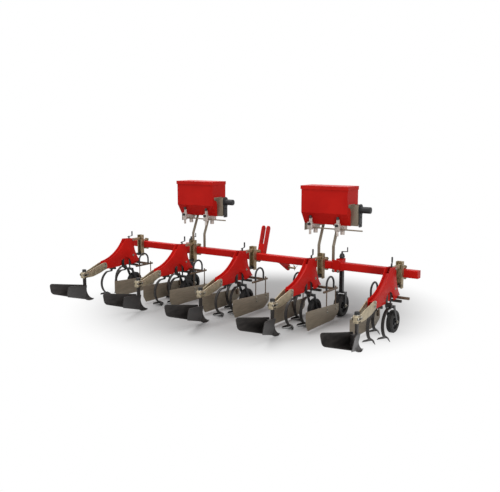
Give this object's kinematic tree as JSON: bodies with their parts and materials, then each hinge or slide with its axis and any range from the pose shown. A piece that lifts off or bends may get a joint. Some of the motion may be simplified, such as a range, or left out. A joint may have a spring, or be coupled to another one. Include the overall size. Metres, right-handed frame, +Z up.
{
  "type": "ridger",
  "caption": "Mounted inter-row ridger: square toolbar on support wheels, row units with depth wheel, tines, shields and double-wing ridging body, fertiliser hoppers on posts.",
  "frame": {"origin": "on the floor under the middle of the machine's outline", "axes": "X along the toolbar to the right seen from behind, Y forward to the tractor, Z up"},
  "size_m": [4.07, 1.681, 1.4333],
  "materials": {
    "red_paint": "gloss red paint",
    "zinc": "passivated zinc",
    "black_paint": "satin black paint",
    "black_steel": "dark tempered steel",
    "olive_steel": "dull grey-brown sheet steel",
    "grey_metal": "plain cast alloy",
    "rubber": "ribbed black rubber"
  },
  "bodies": {
    "machine": {"toolbar": "red_paint", "hitch_frame": "red_paint", "hitch_pins": "zinc", "unit_clamps": "zinc", "hopper_posts": "zinc", "hoppers": "red_paint", "metering_gates": "grey_metal", "drive_brackets": "zinc", "drive_motors": "black_paint", "wheel_clamps": "red_paint", "wheel_legs": "black_paint"},
    "lid_left": {"lid_left": "red_paint"},
    "lid_right": {"lid_right": "red_paint"},
    "support_wheel_left": {"support_wheel_left": "rubber"},
    "support_wheel_right": {"support_wheel_right": "rubber"},
    "upper_link_1": {"upper_link_1": "zinc"},
    "lower_link_1": {"lower_link_1": "black_paint"},
    "unit_1": {"unit_frame_1": "red_paint", "tool_bars_1": "zinc", "ridger_1": "black_steel", "tines_1": "black_steel", "shields_1": "olive_steel", "wheel_fork_1": "black_paint"},
    "unit_wheel_1": {"unit_wheel_1": "rubber"},
    "upper_link_2": {"upper_link_2": "zinc"},
    "lower_link_2": {"lower_link_2": "black_paint"},
    "unit_2": {"unit_frame_2": "red_paint", "tool_bars_2": "zinc", "ridger_2": "black_steel", "tines_2": "black_steel", "shields_2": "olive_steel", "wheel_fork_2": "black_paint"},
    "unit_wheel_2": {"unit_wheel_2": "rubber"},
    "upper_link_3": {"upper_link_3": "zinc"},
    "lower_link_3": {"lower_link_3": "black_paint"},
    "unit_3": {"unit_frame_3": "red_paint", "tool_bars_3": "zinc", "ridger_3": "black_steel", "tines_3": "black_steel", "shields_3": "olive_steel", "wheel_fork_3": "black_paint"},
    "unit_wheel_3": {"unit_wheel_3": "rubber"},
    "upper_link_4": {"upper_link_4": "zinc"},
    "lower_link_4": {"lower_link_4": "black_paint"},
    "unit_4": {"unit_frame_4": "red_paint", "tool_bars_4": "zinc", "ridger_4": "black_steel", "tines_4": "black_steel", "shields_4": "olive_steel", "wheel_fork_4": "black_paint"},
    "unit_wheel_4": {"unit_wheel_4": "rubber"},
    "upper_link_5": {"upper_link_5": "zinc"},
    "lower_link_5": {"lower_link_5": "black_paint"},
    "unit_5": {"unit_frame_5": "red_paint", "tool_bars_5": "zinc", "ridger_5": "black_steel", "tines_5": "black_steel", "shields_5": "olive_steel", "wheel_fork_5": "black_paint"},
    "unit_wheel_5": {"unit_wheel_5": "rubber"}
  },
  "joints": [
    {"name": "unit_lift_1", "type": "hinge", "parent": "machine", "child": "upper_link_1", "pos_m": [-1.8, 0.5195, 0.662], "axis": [-1, 0, 0], "range_deg": [-22, 22]},
    {"name": "lower_link_turn_1", "type": "hinge", "parent": "machine", "child": "lower_link_1", "pos_m": [-1.8, 0.5195, 0.462], "axis": [-1, 0, 0], "range_deg": [-22, 22]},
    {"name": "unit_level_1", "type": "hinge", "parent": "upper_link_1", "child": "unit_1", "pos_m": [-1.8, 0.3495, 0.662], "axis": [-1, 0, 0], "range_deg": [-22, 22]},
    {"name": "unit_wheel_spin_1", "type": "hinge", "parent": "unit_1", "child": "unit_wheel_1", "pos_m": [-1.8, 0.3895, 0.115], "axis": [1, 0, 0], "continuous": true},
    {"name": "unit_lift_2", "type": "hinge", "parent": "machine", "child": "upper_link_2", "pos_m": [-0.9, 0.5195, 0.662], "axis": [-1, 0, 0], "range_deg": [-22, 22]},
    {"name": "lower_link_turn_2", "type": "hinge", "parent": "machine", "child": "lower_link_2", "pos_m": [-0.9, 0.5195, 0.462], "axis": [-1, 0, 0], "range_deg": [-22, 22]},
    {"name": "unit_level_2", "type": "hinge", "parent": "upper_link_2", "child": "unit_2", "pos_m": [-0.9, 0.3495, 0.662], "axis": [-1, 0, 0], "range_deg": [-22, 22]},
    {"name": "unit_wheel_spin_2", "type": "hinge", "parent": "unit_2", "child": "unit_wheel_2", "pos_m": [-0.9, 0.3895, 0.115], "axis": [1, 0, 0], "continuous": true},
    {"name": "unit_lift_3", "type": "hinge", "parent": "machine", "child": "upper_link_3", "pos_m": [0, 0.5195, 0.662], "axis": [-1, 0, 0], "range_deg": [-22, 22]},
    {"name": "lower_link_turn_3", "type": "hinge", "parent": "machine", "child": "lower_link_3", "pos_m": [0, 0.5195, 0.462], "axis": [-1, 0, 0], "range_deg": [-22, 22]},
    {"name": "unit_level_3", "type": "hinge", "parent": "upper_link_3", "child": "unit_3", "pos_m": [0, 0.3495, 0.662], "axis": [-1, 0, 0], "range_deg": [-22, 22]},
    {"name": "unit_wheel_spin_3", "type": "hinge", "parent": "unit_3", "child": "unit_wheel_3", "pos_m": [0, 0.3895, 0.115], "axis": [1, 0, 0], "continuous": true},
    {"name": "unit_lift_4", "type": "hinge", "parent": "machine", "child": "upper_link_4", "pos_m": [0.9, 0.5195, 0.662], "axis": [-1, 0, 0], "range_deg": [-22, 22]},
    {"name": "lower_link_turn_4", "type": "hinge", "parent": "machine", "child": "lower_link_4", "pos_m": [0.9, 0.5195, 0.462], "axis": [-1, 0, 0], "range_deg": [-22, 22]},
    {"name": "unit_level_4", "type": "hinge", "parent": "upper_link_4", "child": "unit_4", "pos_m": [0.9, 0.3495, 0.662], "axis": [-1, 0, 0], "range_deg": [-22, 22]},
    {"name": "unit_wheel_spin_4", "type": "hinge", "parent": "unit_4", "child": "unit_wheel_4", "pos_m": [0.9, 0.3895, 0.115], "axis": [1, 0, 0], "continuous": true},
    {"name": "unit_lift_5", "type": "hinge", "parent": "machine", "child": "upper_link_5", "pos_m": [1.8, 0.5195, 0.662], "axis": [-1, 0, 0], "range_deg": [-22, 22]},
    {"name": "lower_link_turn_5", "type": "hinge", "parent": "machine", "child": "lower_link_5", "pos_m": [1.8, 0.5195, 0.462], "axis": [-1, 0, 0], "range_deg": [-22, 22]},
    {"name": "unit_level_5", "type": "hinge", "parent": "upper_link_5", "child": "unit_5", "pos_m": [1.8, 0.3495, 0.662], "axis": [-1, 0, 0], "range_deg": [-22, 22]},
    {"name": "unit_wheel_spin_5", "type": "hinge", "parent": "unit_5", "child": "unit_wheel_5", "pos_m": [1.8, 0.3895, 0.115], "axis": [1, 0, 0], "continuous": true},
    {"name": "support_wheel_left_spin", "type": "hinge", "parent": "machine", "child": "support_wheel_left", "pos_m": [-1.07, 0.6895, 0.122], "axis": [1, 0, 0], "continuous": true},
    {"name": "lid_left_open", "type": "hinge", "parent": "machine", "child": "lid_left", "pos_m": [-0.9, 0.8325, 1.424], "axis": [-1, 0, 0], "range_deg": [0, 105]},
    {"name": "support_wheel_right_spin", "type": "hinge", "parent": "machine", "child": "support_wheel_right", "pos_m": [1.07, 0.6895, 0.122], "axis": [1, 0, 0], "continuous": true},
    {"name": "lid_right_open", "type": "hinge", "parent": "machine", "child": "lid_right", "pos_m": [0.9, 0.8325, 1.424], "axis": [-1, 0, 0], "range_deg": [0, 105]}
  ],
  "couplings": [
    {"joint": "lower_link_turn_1", "follows": "unit_lift_1", "ratio": 1},
    {"joint": "unit_level_1", "follows": "unit_lift_1", "ratio": -1},
    {"joint": "lower_link_turn_2", "follows": "unit_lift_2", "ratio": 1},
    {"joint": "unit_level_2", "follows": "unit_lift_2", "ratio": -1},
    {"joint": "lower_link_turn_3", "follows": "unit_lift_3", "ratio": 1},
    {"joint": "unit_level_3", "follows": "unit_lift_3", "ratio": -1},
    {"joint": "lower_link_turn_4", "follows": "unit_lift_4", "ratio": 1},
    {"joint": "unit_level_4", "follows": "unit_lift_4", "ratio": -1},
    {"joint": "lower_link_turn_5", "follows": "unit_lift_5", "ratio": 1},
    {"joint": "unit_level_5", "follows": "unit_lift_5", "ratio": -1}
  ]
}
